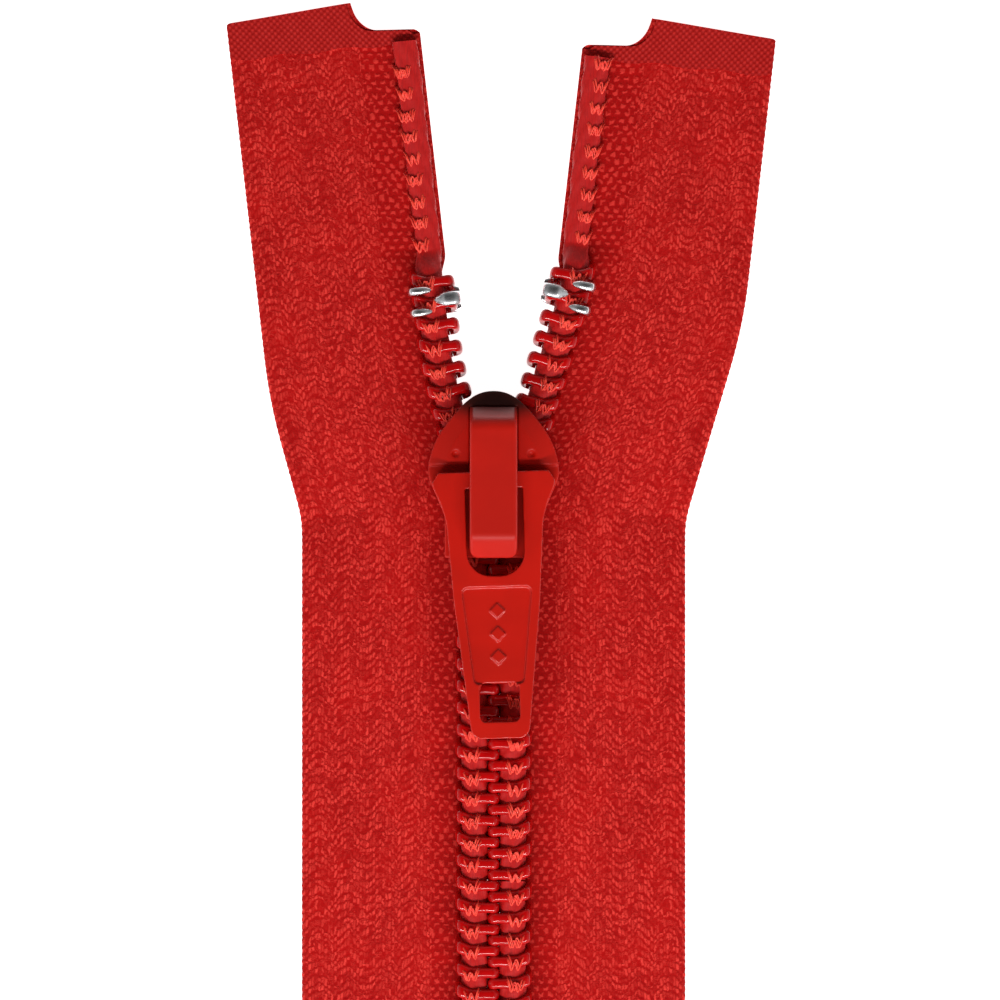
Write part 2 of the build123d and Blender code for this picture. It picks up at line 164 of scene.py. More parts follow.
def droop(u, v):
    """How far the tape sags towards the surface that the zipper lies on."""
    reach = np.clip((u - 5.6) / (tape_outer - 5.6), 0, 1)
    sag = 0.95 + 0.12 * np.sin(v / 9.0) + 0.08 * np.sin(v / 3.7 + 1)
    return reach * reach * (3 - 2 * reach) * sag


def place(side, u, v, z):
    """Points in metres from stringer coordinates, as an array of rows."""
    u, v, z = np.broadcast_arrays(np.asarray(u, float), np.asarray(v, float), np.asarray(z, float))
    lean = lean_at(side, v)
    x = np.interp(v, v_table, BENT[side][1]) + u * np.cos(lean)
    y = np.interp(v, v_table, BENT[side][2]) - u * np.sin(lean)
    points = np.stack([side * x, y, z - droop(u, v)], -1)
    return points.reshape(-1, 3) * MM


def woven_v(side, u, v):
    """Distance along the warp at u, which keeps its length where the tape bends."""
    return v - u * lean_at(side, v)


# ---------------------------------------------------------------- meshes
def make_mesh(name, points, faces, material, uv=None):
    mesh = bpy.data.meshes.new(name)
    faces = np.asarray(faces, np.int32)
    corners = faces.shape[1]
    mesh.vertices.add(len(points))
    mesh.vertices.foreach_set("co", np.asarray(points, np.float32).ravel())
    mesh.loops.add(faces.size)
    mesh.loops.foreach_set("vertex_index", faces.ravel())
    mesh.polygons.add(len(faces))
    mesh.polygons.foreach_set("loop_start", np.arange(0, faces.size, corners, dtype=np.int32))
    mesh.polygons.foreach_set("use_smooth", np.ones(len(faces), bool))
    mesh.update(calc_edges=True)
    if uv is not None:
        layer = mesh.uv_layers.new(name="weave")
        layer.data.foreach_set("uv", np.asarray(uv, np.float32)[faces.ravel()].ravel())
    mesh.validate()
    mesh.set_sharp_from_angle(angle=math.radians(62))
    mesh.materials.append(material)
    piece = bpy.data.objects.new(name, mesh)
    bpy.context.scene.collection.objects.link(piece)
    return piece


def grid_faces(rows, columns, first=0):
    row, col = np.meshgrid(np.arange(rows - 1), np.arange(columns - 1), indexing="ij")
    corner = (first + row * columns + col).ravel()
    return np.stack([corner, corner + 1, corner + columns + 1, corner + columns], 1)


def slab_faces(rows, columns):
    """Faces of a closed slab: a top grid, a bottom grid after it, and the four walls between them."""
    count = rows * columns
    top = grid_faces(rows, columns)
    bottom = grid_faces(rows, columns, count)[:, ::-1]
    rim = np.concatenate([
        np.arange(columns),
        np.arange(1, rows) * columns + columns - 1,
        (rows - 1) * columns + np.arange(columns - 2, -1, -1),
        np.arange(rows - 2, 0, -1) * columns,
    ])
    following = np.roll(rim, -1)
    walls = np.stack([rim, rim + count, following + count, following], 1)
    return np.concatenate([top, bottom, walls])


def slab(name, side, u, v, top, low, material):
    """A closed sheet over a grid of u and v, between two heights at every point."""
    rows, columns = u.shape
    points = np.concatenate([place(side, u, v, top), place(side, u, v, low)])
    faces = slab_faces(rows, columns)
    uv = np.stack([u, woven_v(side, u, v)], -1).reshape(-1, 2)
    return make_mesh(name, points, faces if side > 0 else faces[:, ::-1], material, np.concatenate([uv, uv]))


def tube_faces(count, around, first=0):
    """Quads of a tube of count rings, its ends closed by folding each end ring onto itself."""
    ring, corner = np.meshgrid(np.arange(count - 1), np.arange(around), indexing="ij")
    here = (first + ring * around + corner).ravel()
    side_on = (first + ring * around + (corner + 1) % around).ravel()
    body = np.stack([here, side_on, side_on + around, here + around], 1)
    caps = []
    for base, turn in ((first, 1), (first + (count - 1) * around, -1)):
        for k in range(around // 2 - 1):
            quad = [base + k, base + k + 1, base + around - 2 - k, base + around - 1 - k]
            caps.append(quad[::-turn])
    return np.concatenate([body, np.array(caps)])


def rounded(corners, passes=3):
    """A smooth line from a control polygon, by cutting its corners."""
    line = np.asarray(corners, float)
    for _ in range(passes):
        near = 0.75 * line[:-1] + 0.25 * line[1:]
        far = 0.25 * line[:-1] + 0.75 * line[1:]
        middle = np.stack([near, far], 1).reshape(-1, line.shape[1])
        line = np.concatenate([line[:1], middle, line[-1:]])
    return line


def tube(line, half_width, half_height, wide, around=10, squareness=2.2):
    """Rings round a line. wide is the direction of each ring's width, made square to the line."""
    along = np.gradient(line, axis=0)
    along /= np.linalg.norm(along, axis=1, keepdims=True)
    across = wide - (wide * along).sum(1, keepdims=True) * along
    across /= np.linalg.norm(across, axis=1, keepdims=True)
    upward = np.cross(across, along)
    angle = np.arange(around) * 2 * np.pi / around
    cosine = np.sign(np.cos(angle)) * np.abs(np.cos(angle)) ** (2 / squareness)
    sine = np.sign(np.sin(angle)) * np.abs(np.sin(angle)) ** (2 / squareness)
    ring = (
        across[:, None] * (half_width[:, None] * cosine)[..., None]
        + upward[:, None] * (half_height[:, None] * sine)[..., None]
    )
    return (line[:, None] + ring).reshape(-1, 3)


class Strands:
    """Collects tubes in stringer coordinates and turns them into one mesh."""

    def __init__(self, around):
        self.around = around
        self.points = []
        self.faces = []
        self.count = 0

    def add(self, line, half_width, half_height, wide=(0, 1, 0), squareness=2.2):
        size = len(line)
        widths = np.broadcast_to(np.asarray(half_width, float), size)
        heights = np.broadcast_to(np.asarray(half_height, float), size)
        self.points.append(tube(line, widths, heights, np.asarray(wide, float), self.around, squareness))
        self.faces.append(tube_faces(size, self.around, self.count))
        self.count += size * self.around

    def make(self, name, side, material):
        points = np.concatenate(self.points)
        faces = np.concatenate(self.faces)
        uv = points[:, :2]
        placed = place(side, points[:, 0], points[:, 1], points[:, 2])
        return make_mesh(name, placed, faces if side > 0 else faces[:, ::-1], material, uv)


# ---------------------------------------------------------------- node helpers
class Shade:
    """A Principled material put together node by node."""

    def __init__(self, name, **values):
        self.material = bpy.data.materials.new(name)
        self.material.use_nodes = True
        self.tree = self.material.node_tree
        self.shader = self.tree.nodes["Principled BSDF"]
        for socket, value in values.items():
            self.shader.inputs[socket.replace("_", " ")].default_value = value

    def node(self, kind, inputs=(), **settings):
        made = self.tree.nodes.new(kind)
        for key, value in settings.items():
            setattr(made, key, value)
        for socket, value in dict(inputs).items():
            self.connect(value, made.inputs[socket])
        return made

    def connect(self, value, socket):
        if isinstance(value, bpy.types.NodeSocket):
            self.tree.links.new(value, socket)
        else:
            socket.default_value = value

    def math(self, operation, first, second=0.0, third=0.0):
        made = self.node("ShaderNodeMath", {0: first, 1: second, 2: third}, operation=operation)
        return made.outputs[0]

    def smooth(self, value, low, high):
        made = self.node("ShaderNodeMapRange", {"Value": value, "From Min": low, "From Max": high})
        made.interpolation_type = "SMOOTHSTEP"
        return made.outputs["Result"]

    def mix(self, share, first, second):
        made = self.node("ShaderNodeMix", data_type="RGBA")
        colours = [socket for socket in made.inputs if socket.type == "RGBA"]
        self.connect(share, made.inputs[0])
        self.connect(first, colours[0])
        self.connect(second, colours[1])
        return [socket for socket in made.outputs if socket.type == "RGBA"][0]

    def noise(self, scale, detail=3.0, vector=None, rough=0.55):
        made = self.node("ShaderNodeTexNoise", {"Scale": scale, "Detail": detail, "Roughness": rough})
        self.connect(vector or self.position(), made.inputs["Vector"])
        return made.outputs[0]

    def chance(self, first, second):
        """A random value for each pair of whole numbers."""
        pair = self.node("ShaderNodeCombineXYZ", {0: first, 1: second})
        made = self.node("ShaderNodeTexWhiteNoise", {0: pair.outputs[0]}, noise_dimensions="2D")
        return made.outputs[0]

    def position(self):
        return self.node("ShaderNodeTexCoord").outputs["Object"]

    def weave(self):
        """u and v of the stringer in millimetres."""
        made = self.node("ShaderNodeUVMap", uv_map="weave")
        parts = self.node("ShaderNodeSeparateXYZ", {0: made.outputs[0]})
        return made.outputs[0], parts.outputs[0], parts.outputs[1]

    def bump(self, height, distance, strength=1.0):
        made = self.node("ShaderNodeBump", {"Height": height, "Distance": distance, "Strength": strength})
        self.tree.links.new(made.outputs[0], self.shader.inputs["Normal"])

    def colour(self, value):
        self.connect(value, self.shader.inputs["Base Color"])

    def rough(self, value):
        self.connect(value, self.shader.inputs["Roughness"])


def rgba(red, green, blue):
    """A linear colour from 0-255 screen values."""
    channels = [channel / 255 for channel in (red, green, blue)]
    return (*[c / 12.92 if c < 0.04045 else ((c + 0.055) / 1.055) ** 2.4 for c in channels], 1.0)


# ---------------------------------------------------------------- materials
def tape_material():
    """Herringbone twill of dyed polyester, with stray weft floats and an open gauze beside the coil."""
    shade = Shade("tape_weave", Sheen_Weight=0.03, Sheen_Roughness=0.5, Specular_IOR_Level=0.12)
    vector, u, v = shade.weave()
    coarse = shade.math("SUBTRACT", shade.noise(0.9, 2.0, vector), 0.5)
    fine = shade.math("SUBTRACT", shade.noise(2.6, 2.0, vector), 0.5)
    v = shade.math("ADD", v, shade.math("MULTIPLY_ADD", coarse, 1.1, shade.math("MULTIPLY", fine, 0.8)))
    u_moved = shade.math("ADD", u, shade.math("MULTIPLY", fine, -0.35))
    warp = shade.math("DIVIDE", u_moved, warp_pitch)
    warp_index = shade.math("FLOOR", warp)
    across = shade.math("ABSOLUTE", shade.math("SUBTRACT", shade.math("FRACT", warp), 0.5))
    across = shade.smooth(across, 0.62, 0.16)
    row = shade.math("FLOOR", shade.math("DIVIDE", u_moved, column))
    turn = shade.math("SUBTRACT", 1.0, shade.math("MULTIPLY", shade.math("FLOORED_MODULO", row, 2.0), 2.0))
    slanted = shade.math("MULTIPLY_ADD", warp, 0.6, shade.math("MULTIPLY", warp_index, 0.4))
    phase = shade.math("SUBTRACT", shade.math("DIVIDE", v, weft_pitch), shade.math("MULTIPLY", turn, slanted))
    phase = shade.math("DIVIDE", phase, float(twill))
    column_shift = shade.math("FRACT", shade.math("MULTIPLY", row, golden))
    column_shift = shade.math("MULTIPLY", column_shift, column_spread)
    warp_shift = shade.math("FRACT", shade.math("MULTIPLY", warp_index, plastic_step))
    warp_shift = shade.math("MULTIPLY", warp_shift, warp_spread)
    phase = shade.math("ADD", phase, shade.math("ADD", column_shift, warp_shift))
    along = shade.math("COSINE", shade.math("MULTIPLY", phase, 2 * math.pi))
    chance = shade.chance(warp_index, shade.math("FLOOR", shade.math("ADD", phase, 0.5)))
    fleck = shade.math("MULTIPLY", shade.smooth(along, -0.95, 0.75), across)
    fleck = shade.math("MULTIPLY", fleck, shade.math("MULTIPLY_ADD", chance, 1.1, 0.05))
    pick = shade.math("COSINE", shade.math("MULTIPLY", shade.math("DIVIDE", v, weft_pitch), 2 * math.pi))
    pick_chance = shade.chance(
        shade.math("FLOOR", shade.math("DIVIDE", u_moved, 1.4 * warp_pitch)),
        shade.math("FLOOR", shade.math("DIVIDE", v, weft_pitch)),
    )
    pick = shade.math("MULTIPLY", shade.smooth(pick, -0.2, 0.9), shade.smooth(pick_chance, 0.5, 1.0))
    fleck = shade.math("MAXIMUM", fleck, shade.math("MULTIPLY", pick, 0.6))
    dash_row = shade.math("FLOOR", shade.math("DIVIDE", v, dash_pitch))
    shift = shade.math("MULTIPLY", shade.math("FLOORED_MODULO", dash_row, 2.0), 0.5)
    turns_u = shade.math("ADD", shade.math("DIVIDE", u, dash_length), shift)
    dash_u = shade.math("COSINE", shade.math("MULTIPLY", turns_u, 2 * math.pi))
    dash_v = shade.math("SUBTRACT", shade.math("FRACT", shade.math("DIVIDE", v, dash_pitch)), 0.5)
    dash = shade.smooth(shade.math("ABSOLUTE", dash_v), 0.36, 0.1)
    dash = shade.math("MULTIPLY", shade.math("MULTIPLY", shade.smooth(dash_u, -0.6, 0.5), dash), 0.7)
    in_gauze = shade.math("LESS_THAN", u, gauze_edge)
    pattern = shade.node("ShaderNodeMix", {0: in_gauze, 2: fleck, 3: dash}, data_type="FLOAT").outputs[0]
    fibre = shade.noise(7.0, 3.0, vector, 0.7)
    broad = shade.noise(0.2, 3.0, vector)
    base = shade.mix(shade.smooth(fibre, 0.25, 0.62), rgba(*TAPE_DARK), rgba(*TAPE_BASE))
    base = shade.mix(shade.math("MULTIPLY", shade.smooth(broad, 0.4, 0.7), 0.5), base, rgba(*TAPE_WORN))
    shade.colour(shade.mix(shade.math("MINIMUM", pattern, 1.0), base, rgba(*TAPE_FLECK)))
    shade.bump(shade.math("ADD", pattern, shade.math("MULTIPLY", fibre, 0.5)), 0.04 * MM, 0.7)
    shade.rough(shade.math("MULTIPLY_ADD", pattern, -0.15, 0.75))
    return shade.material


def nylon_material():
    """Dyed monofilament: deep red, glossy, faintly cloudy, with drawn scratches along it."""
    shade = Shade("coil_nylon", IOR=1.5, Specular_IOR_Level=0.4)
    vector = shade.position()
    cloud = shade.noise(900.0, 3.0, vector)
    streak = shade.node("ShaderNodeMapping", {"Vector": vector, "Scale": (1500.0, 14000.0, 3000.0)})
    scratch = shade.noise(1.0, 4.0, streak.outputs[0], 0.7)
    shade.colour(shade.mix(shade.smooth(cloud, 0.3, 0.7), rgba(*COIL_DARK), rgba(*COIL_LIGHT)))
    shade.rough(shade.math("MULTIPLY_ADD", scratch, 0.14, 0.06))
    shade.bump(scratch, 0.004 * MM, 0.5)
    return shade.material


def yarn_material(name, dark, light, roughness, fibre_scale):
    """Multifilament yarn: a bright sheen broken into fibres that run along it."""
    shade = Shade(name, Sheen_Weight=0.1, Sheen_Roughness=0.35, Specular_IOR_Level=0.35)
    vector = shade.position()
    stretched = shade.node("ShaderNodeMapping", {"Vector": vector, "Scale": fibre_scale})
    fibre = shade.noise(1.0, 4.0, stretched.outputs[0], 0.65)
    cloud = shade.noise(1100.0, 2.0, vector)
    colour = shade.mix(shade.smooth(fibre, 0.32, 0.68), rgba(*dark), rgba(*light))
    colour = shade.mix(shade.math("MULTIPLY", cloud, 0.3), colour, rgba(*dark))
    shade.colour(colour)
    shade.rough(shade.math("MULTIPLY_ADD", fibre, -0.2, roughness))
    shade.bump(fibre, 0.03 * MM, 0.8)
    return shade.material


def film_material():
    """Heat-set film over the weave: a fine diagonal cross-hatch pressed into clear plastic."""
    shade = Shade("end_film", Specular_IOR_Level=0.2)
    vector, u, v = shade.weave()
    across = shade.math("COSINE", shade.math("MULTIPLY", u, 2 * math.pi / hatch_pitch))
    along = shade.math("COSINE", shade.math("MULTIPLY", v, 2 * math.pi / hatch_pitch))
    hatch = shade.math("MULTIPLY", across, along)
    blotch = shade.noise(2.2, 3.0, vector)
    lit = shade.math("MULTIPLY", shade.smooth(hatch, -0.2, 0.8), shade.math("MULTIPLY_ADD", blotch, 0.8, 0.1))
    shade.colour(shade.mix(lit, rgba(*FILM_DARK), rgba(*FILM_LIGHT)))
    shade.rough(shade.math("MULTIPLY_ADD", blotch, 0.2, 0.5))
    shade.bump(shade.math("ADD", hatch, blotch), 0.02 * MM, 0.7)
    return shade.material


def enamel_material(name, colour, worn, roughness=0.14, paint_nose_shade=False, shine=0.5):
    """Stoved enamel over a cast surface, with a faint orange peel, and rubbed edges or painted shade
    darkening the nose.
    """
    shade = Shade(name, IOR=1.45, Specular_IOR_Level=shine)
    vector = shade.position()
    peel = shade.noise(1400.0, 2.0, vector)
    dust = shade.noise(5200.0, 3.0, vector, 0.7)
    cloud = shade.noise(160.0, 3.0, vector)
    base = shade.mix(shade.smooth(cloud, 0.35, 0.7), rgba(*colour), rgba(*[0.93 * c for c in colour]))
    if paint_nose_shade:
        # painted shade: the nose is painted dark towards its front, where its slopes face away from the
        # light, reaching less far back at its sides
        parts = shade.node("ShaderNodeSeparateXYZ", {0: vector})
        across = shade.math("MULTIPLY", parts.outputs[0], 1 / MM)
        reach = shade.math("MULTIPLY_ADD", parts.outputs[1], 1 / MM, shade.math("MULTIPLY", cloud, 0.5))
        reach = shade.math("MULTIPLY_ADD", shade.math("MULTIPLY", across, across), -0.04, reach)
        shade.colour(shade.mix(shade.smooth(reach, nose - 2.5, nose - 0.7), base, rgba(*PAINTED_SHADE_NOSE_COLOUR)))
    else:
        edge = shade.node("ShaderNodeNewGeometry").outputs["Pointiness"]
        rub = shade.math("MULTIPLY", shade.smooth(edge, 0.55, 0.66), shade.smooth(dust, 0.45, 0.6))
        shade.colour(shade.mix(shade.math("MULTIPLY", rub, 0.25), base, rgba(*worn)))
    shade.rough(shade.math("MULTIPLY_ADD", dust, 0.12, roughness))
    shade.bump(shade.math("ADD", peel, shade.math("MULTIPLY", dust, 0.15)), 0.012 * MM, 0.3)
    return shade.material


def metal_material(name, colour, roughness):
    """Bright rolled metal with fine drawing marks and small dents."""
    shade = Shade(name, Metallic=1.0)
    vector = shade.position()
    streak = shade.node("ShaderNodeMapping", {"Vector": vector, "Scale": (2500.0, 16000.0, 2500.0)})
    drawn = shade.noise(1.0, 4.0, streak.outputs[0], 0.7)
    dent = shade.noise(1300.0, 2.0, vector)
    shade.colour(shade.mix(shade.smooth(dent, 0.35, 0.7), rgba(*colour), rgba(*[0.86 * c for c in colour])))
    shade.rough(shade.math("MULTIPLY_ADD", drawn, 0.16, roughness))
    shade.bump(shade.math("ADD", dent, shade.math("MULTIPLY", drawn, 0.1)), 0.02 * MM, 0.6)
    return shade.material


def plastic_material():
    """Moulded, dyed acetal: satin, with a fine mould texture."""
    shade = Shade("box_plastic", IOR=1.48, Subsurface_Weight=0.05, Subsurface_Scale=0.0006)
    vector = shade.position()
    grain = shade.noise(6000.0, 3.0, vector, 0.7)
    cloud = shade.noise(300.0, 3.0, vector)
    shade.colour(shade.mix(shade.smooth(cloud, 0.3, 0.7), rgba(*COIL_DARK), rgba(*COIL_LIGHT)))
    shade.rough(shade.math("MULTIPLY_ADD", grain, 0.2, 0.26))
    shade.bump(grain, 0.008 * MM, 0.5)
    return shade.material


def floor_material():
    shade = Shade("floor_paper", Roughness=0.9, Specular_IOR_Level=0.1)
    grain = shade.noise(120.0, 3.0)
    shade.colour(shade.mix(grain, (0.93, 0.93, 0.93, 1), (0.96, 0.96, 0.96, 1)))
    # The floor glows: painted light that washes out the shadows cast on it and also lights the object from
    # below.
    shade.shader.inputs["Emission Color"].default_value = (1, 1, 1, 1)
    shade.shader.inputs["Emission Strength"].default_value = 0.95
    return shade.material


TAPE_DARK = (138, 1, 1)
TAPE_BASE = (174, 2, 2)
TAPE_WORN = (190, 5, 3)
TAPE_FLECK = (228, 56, 48)
COIL_DARK = (174, 5, 7)
COIL_LIGHT = (190, 9, 10)
THREAD_DARK = (222, 24, 12)
THREAD_LIGHT = (255, 88, 64)
CORD_DARK = (176, 5, 6)
CORD_LIGHT = (204, 18, 15)
FILM_DARK = (164, 8, 5)
FILM_LIGHT = (222, 44, 36)
# painted shade on the slider's nose, not a colour of the enamel
PAINTED_SHADE_NOSE_COLOUR = (58, 16, 10)
ENAMEL = (194, 26, 15)
ENAMEL_WORN = (220, 120, 110)
STEEL = (225, 226, 228)
SPRING_STEEL = (170, 168, 164)

TAPE = tape_material()
NYLON = nylon_material()
THREAD = yarn_material("stitch_thread", THREAD_DARK, THREAD_LIGHT, 0.55, (9000.0, 2500.0, 6000.0))
CORD = yarn_material("cord_yarn", CORD_DARK, CORD_LIGHT, 0.65, (9000.0, 900.0, 6000.0))
FILM = film_material()
ENAMEL_PAINT = enamel_material("slider_enamel", ENAMEL, ENAMEL_WORN)
# the slider body's and cover's enamel, with painted shade darkening the nose
SHADED_NOSE_ENAMEL = enamel_material("nose_enamel_painted_shade", ENAMEL, ENAMEL_WORN, 0.34, paint_nose_shade=True, shine=0.2)
STOP_METAL = metal_material("stop_metal", STEEL, 0.2)
SPRING_METAL = metal_material("spring_metal", SPRING_STEEL, 0.22)
PLASTIC = plastic_material()


# ---------------------------------------------------------------- the joints that stringer pieces span
def centre_point(side, v):
    return place(side, 0, v, tape_high)[0]


BLENDS = {
    "low": ("bottom", "lower_bend", lower_fork, 4.0),
    "lower_middle": ("lower_bend", "middle", lower_mouth, 2.6),
    "upper_middle": ("middle", "upper_bend", fork, 3.6),
    "top": ("upper_bend", "upper", mouth, 2.4),
}


def bend_with(piece, side, part):
    """Bakes a stringer piece's placement into its mesh. It works out the bodies either side of its joint and
    the ends of a blend between them, but makes no blend.
    """
    word = SIDE_NAME[side]
    first, second, joint_v, reach = BLENDS[part]
    first = first if first == "bottom" else f"{word}_{first}"
    start = centre_point(side, joint_v - reach)
    end = centre_point(side, joint_v + reach)
    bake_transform(piece)


def replaced_nodes(side, part, kind):
    """The CAD segments that a stringer piece stands for. The first piece to cross a segment takes it."""
    segments = {"low": ["lower"], "lower_middle": ["lower_bend"], "upper_middle": ["middle"],
                "top": ["upper_bend", "upper"]}[part]
    if kind == "core_cord":
        segments = [segment for segment in segments if segment != "lower"]
    return [f"{SIDE_NAME[side]}_{kind}_{segment}" for segment in segments]


# ---------------------------------------------------------------- tapes and films
def end_line(u):
    """v of the tape's punched top end at u, with the notch beside the cord."""
    low_part = notch_inner_v + (notch_v - notch_inner_v) * (u - tape_inner) / (notch_u - tape_inner)
    high_part = tape_end_inner + (tape_end_outer - tape_end_inner) * (u - notch_u) / (tape_outer - notch_u)
    share = np.clip((u - notch_u + notch_radius) / notch_radius, 0, 1)
    share = 1 - np.sqrt(1 - share * share)
    corner = 0.12 * np.clip((u - tape_outer + 0.3) / 0.3, 0, 1) ** 2
    inner_corner = 0.3 * np.clip((tape_inner + 0.5 - u) / 0.5, 0, 1) ** 2
    return low_part + (high_part - low_part) * share - corner - inner_corner


def twill_phase(columns, warps):
    """Where along its repeat a warp's float starts, different from column to column."""
    return column_spread * np.mod(columns * golden, 1) + warp_spread * np.mod(warps * plastic_step, 1)


def relief(side, u, v):
    """Height of the yarns above the tape's mean face: herringbone floats, or gauze dashes by the coil."""
    woven = woven_v(side, u, v)
    warp = u / warp_pitch
    columns = np.floor(u / column)
    turn = 1 - 2 * np.mod(columns, 2)
    phase = (woven / weft_pitch - turn * np.floor(warp)) / twill + twill_phase(columns, np.floor(warp))
    across = np.abs(np.mod(warp, 1) - 0.5)
    floats = np.clip(np.cos(2 * np.pi * phase) + 0.3, 0, 1.3) * (0.5 - across) * 2
    dash_row = np.floor(woven / dash_pitch)
    dash_u = np.cos(2 * np.pi * (u / dash_length + 0.5 * np.mod(dash_row, 2)))
    dash_v = np.cos(2 * np.pi * (np.mod(woven / dash_pitch, 1) - 0.5))
    dashes = np.clip(dash_v, 0, 1) * (0.55 + 0.45 * dash_u)
    return np.where(u < gauze_edge, 0.04 * dashes - 0.03, 0.03 * floats)


def inner_edge(v):
    """u of the tape's inner edge: under the coil heads, and further in above the stops."""
    return tape_inner - 0.1 - 0.5 * ramp(v, stop_line + 2.6, 1.0)


def tape_piece(side, part):
    bottom = CUTS[PARTS.index(part)]
    top = CUTS[PARTS.index(part) + 1] if part != "top" else tape_end_inner
    columns = 161
    rows = int((top - bottom) / 0.135) + 1
    share_u = np.linspace(0, 1, columns)
    u_line = tape_inner + (tape_outer - tape_inner) * share_u
    if part == "top":
        edge = end_line(u_line) - short_end[side]
        level = bottom + (top - bottom) * np.linspace(0, 1, rows)
        squeeze = np.clip((level - (top - 7)) / 7, 0, 1)[:, None] ** 1.5
        v = level[:, None] - (top - edge)[None, :] * squeeze
    else:
        v = np.repeat(np.linspace(bottom, top, rows)[:, None], columns, 1)
    edge_u = inner_edge(v)
    u = edge_u + (tape_outer - edge_u) * share_u[None, :]
    edge_in = np.clip(1 - (u - edge_u) / 0.3, 0, 1)
    edge_out = np.clip(1 - (tape_outer - u) / 0.35, 0, 1)
    thin = 0.17 * (edge_in**2 + edge_out**2)
    bead = 0.05 * np.exp(-(((u - tape_outer + 0.55) / 0.28) ** 2))
    slack = 0.035 * np.sin(v / 1.9 + 2 * u / 5) * np.clip((u - 4) / 5, 0, 1)
    high = tape_high - 0.07 + relief(side, u, v) - thin + bead + slack
    low = tape_low + 0.05 - 0.6 * relief(side, u + 0.5 * column, v) + thin + slack
    ragged = 0.02 * np.sin(woven_v(side, u, v) * 2 * np.pi / dash_pitch)
    u = u + ragged * edge_out
    piece = slab(f"{SIDE_NAME[side]}_tape_{part}_cloth", side, u, v, high, low, TAPE)
    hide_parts(*replaced_nodes(side, part, "tape"))
    bend_with(piece, side, part)


def film_piece(side, name, node, u_line, low_v, high_v, body):
    """A thin film pressed on the tape's face between two v lines."""
    rows = 26
    share = np.linspace(0, 1, rows)[:, None]
    u = np.repeat(u_line[None, :], rows, 0)
    v = low_v[None, :] + (high_v - low_v)[None, :] * share
    turn = 2 * np.pi / hatch_pitch
    hatch = 0.012 * np.cos(turn * u) * np.cos(turn * woven_v(side, u, v))
    top = film_level + hatch + 0.02 * np.sin(3 * u) * np.sin(2 * v)
    piece = slab(name, side, u, v, top, top - 0.12, FILM)
    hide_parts(node)
    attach(piece, body)


def films(side):
    word = SIDE_NAME[side]
    u_line = np.linspace(inner_edge(notch_inner_v) + 0.02, tape_outer - 0.02, 161)
    share = (u_line - tape_inner) / (tape_outer - tape_inner)
    low_v = film_inner_v + (film_outer_v - film_inner_v) * share - short_end[side]
    low_v += 0.12 * np.sin(u_line * 1.3)
    high_v = end_line(u_line) - 0.02 - short_end[side]
    film_piece(side, f"{word}_top_film_sheet", f"{word}_top_film", u_line, low_v, high_v, f"{word}_upper")
    u_line = np.linspace(bottom_film_inner, tape_outer - 0.02, 121)
    low_v = np.full_like(u_line, box_bottom + 0.02)
    film_piece(side, f"{word}_bottom_film_sheet", f"{word}_bottom_film", u_line, low_v,
               low_v + bottom_film_top - box_bottom, "bottom")


# ---------------------------------------------------------------- coil, cord and stitches
def heads(side):
    first = coil_start + (pitch / 2 if side == RIGHT else 0)
    return first + pitch * np.arange(turns)


def part_of(v):
    return PARTS[int(np.searchsorted(CUTS, v, side="right")) - 1]


def coil_pieces(side):
    """The coiled monofilament, with stamped coupling heads and legs pulled down by the stitches."""
    strands = {part: Strands(14) for part in PARTS}
    places = heads(side)
    for index, head in enumerate(places):
        jog = 0.02 * random.standard_normal(4)
        corners = [
            (head_u + 0.55, head - 0.12, leg_low),
            (head_u, head, leg_low),
            (head_u, head + 0.35 + jog[0], leg_high),
            (head_u + 0.55, head + 0.36 + jog[0], leg_high + 0.03),
            (head_u + 1.35, head + 0.36, leg_high + 0.01),
            (stitch_u, head + 0.33, leg_high - 0.1 + jog[1]),
            (stitch_u + 0.5, head + 0.45, leg_high),
            (back_u + 0.02, head + 0.68 + jog[2], leg_high + 0.02),
            (back_u + 0.06, head + 1.25, leg_low),
            (back_u - 0.5, head + 1.36, leg_low),
            (stitch_u, head + 1.45, leg_low + 0.03),
            (head_u + 0.55, head + pitch - 0.12, leg_low),
        ]
        if index == 0:
            corners[0] = (head_u + 1.3, head - 0.2, leg_low)
        if index == len(places) - 1:
            corners[-1] = (stitch_u - 0.4, head + 1.58, leg_low)
        line = rounded(corners, 3)
        depth = (line[:, 2] - leg_low) / (leg_high - leg_low)
        near_head = 1 - ramp(line[:, 0], 0.12, 0.26)
        outer_leg = ramp(line[:, 0], 1.1, 0.5)
        wide = 0.38 + 0.03 * depth + 0.07 * near_head + 0.07 * outer_leg
        high = 0.3 + 0.03 * near_head
        strands[part_of(head)].add(line, wide, high, squareness=2.6)
    for part, strand in strands.items():
        piece = strand.make(f"{SIDE_NAME[side]}_coil_{part}_filament", side, NYLON)
        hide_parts(*replaced_nodes(side, part, "coil"))
        bend_with(piece, side, part)


def cord_height_at(v, coil_end):
    """z of the core cord's middle: inside the coil, then down on the tape above the stop."""
    return 3.2 - 1.02 * ramp(v, coil_end + 0.9, 1.1)


